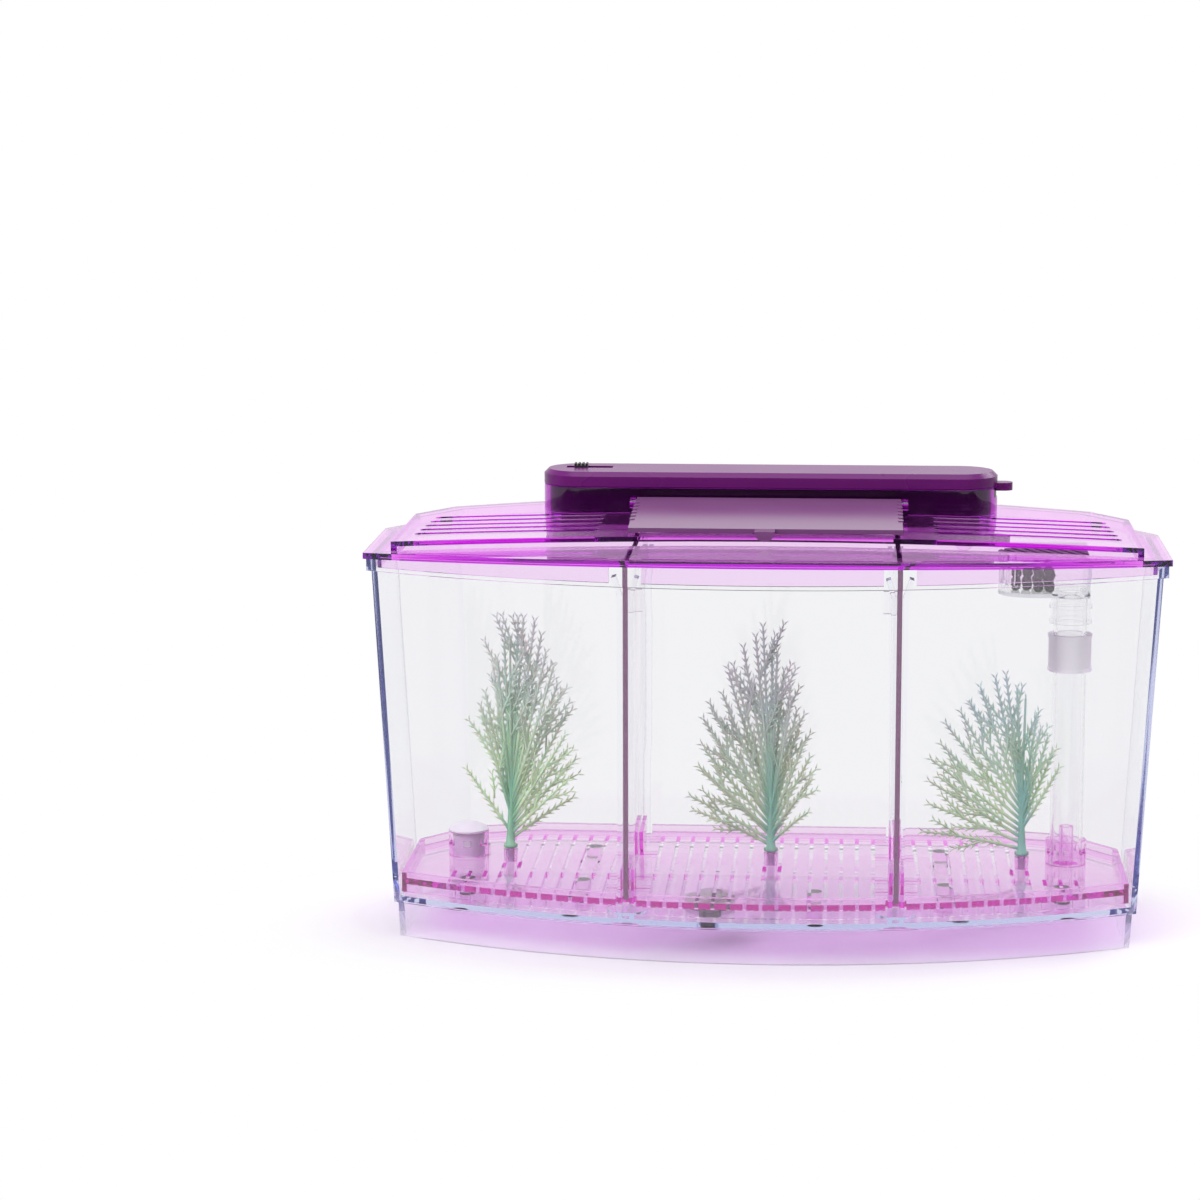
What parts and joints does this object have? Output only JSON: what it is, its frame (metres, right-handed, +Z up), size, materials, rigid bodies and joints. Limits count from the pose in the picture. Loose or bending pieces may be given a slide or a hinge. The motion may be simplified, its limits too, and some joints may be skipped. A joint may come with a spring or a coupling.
{
  "type": "fish breeding box",
  "caption": "Bow-front breeding tank with slotted filter plate, uplift tube, lift-out dividers, plastic plants, and a lid with feeding hatch and battery lamp.",
  "frame": {"origin": "middle of the footprint, on the surface that the plinth stands on", "axes": "+X to the right and +Y to the back as seen from the bowed front, +Z up"},
  "size_m": [0.255, 0.121, 0.1458],
  "materials": {
    "clear": "clear, polished",
    "tint": "tinted purple, clear, polished",
    "rubber": "matt grey",
    "frost": "frosted white",
    "white": "white",
    "louvre": "smoke grey",
    "carbon": "charcoal grains",
    "foliage": "soft pale green",
    "hatch": "greyish mauve",
    "steel": "plain",
    "housing": "very dark purple",
    "cap": "purple, satin",
    "lens": "milky",
    "board": "solder-masked board",
    "led": "phosphor yellow",
    "black": "black",
    "cell": "wrapped cell",
    "lead": "insulated wire"
  },
  "bodies": {
    "tank": {"tank_shell": "clear", "drain_plug": "rubber", "filter_plate": "tint", "divider_left": "tint", "divider_right": "tint", "uplift_tube": "clear"},
    "sleeve": {"tube_sleeve": "frost"},
    "outlet": {"cartridge_case": "clear", "cartridge_lid": "louvre", "carbon_grains": "carbon"},
    "spare_cap": {"port_cap": "white"},
    "left_plant": {"plant_left": "foliage"},
    "middle_plant": {"plant_middle": "foliage"},
    "right_plant": {"plant_right": "foliage"},
    "cover": {"lid": "tint"},
    "hatch": {"feeding_hatch": "hatch", "hinge_pins": "steel"},
    "lamp": {"lamp_body": "housing", "lamp_lens": "lens", "led_board": "board", "leds": "led", "board_screws": "steel", "battery_tray": "black", "battery_left": "cell", "battery_right": "cell", "battery_contacts": "steel", "lamp_wires": "lead", "switch_body": "black"},
    "knob": {"switch_knob": "black"},
    "lamp_cover": {"lamp_cap": "cap"}
  },
  "joints": [
    {"name": "lid_lift", "type": "slide", "parent": "tank", "child": "cover", "axis": [0, 0, 1], "range_m": [0, 0.06]},
    {"name": "hatch_hinge", "type": "hinge", "parent": "cover", "child": "hatch", "pos_m": [0, 0.0255, 0.13425], "axis": [-1, 0, 0], "range_deg": [0, 80]},
    {"name": "lamp_lift", "type": "slide", "parent": "cover", "child": "lamp", "axis": [0, 0, 1], "range_m": [0, 0.03]},
    {"name": "lamp_cover_lift", "type": "slide", "parent": "lamp", "child": "lamp_cover", "axis": [0, 0, 1], "range_m": [0, 0.02]},
    {"name": "switch_slide", "type": "slide", "parent": "lamp", "child": "knob", "axis": [1, 0, 0], "range_m": [0, 0.0075]},
    {"name": "outlet_swivel", "type": "hinge", "parent": "tank", "child": "outlet", "pos_m": [0.09826, 0.0105, 0.105], "axis": [0, 0, 1], "range_deg": [0, 80]},
    {"name": "sleeve_slide", "type": "slide", "parent": "tank", "child": "sleeve", "axis": [0, 0, -1], "range_m": [0, 0.045]},
    {"name": "spare_cap_pull", "type": "slide", "parent": "tank", "child": "spare_cap", "axis": [0, 0, 1], "range_m": [0, 0.02]},
    {"name": "left_plant_pull", "type": "slide", "parent": "tank", "child": "left_plant", "axis": [0, 0, 1], "range_m": [0, 0.012]},
    {"name": "middle_plant_pull", "type": "slide", "parent": "tank", "child": "middle_plant", "axis": [0, 0, 1], "range_m": [0, 0.012]},
    {"name": "right_plant_pull", "type": "slide", "parent": "tank", "child": "right_plant", "axis": [0, 0, 1], "range_m": [0, 0.012]}
  ]
}
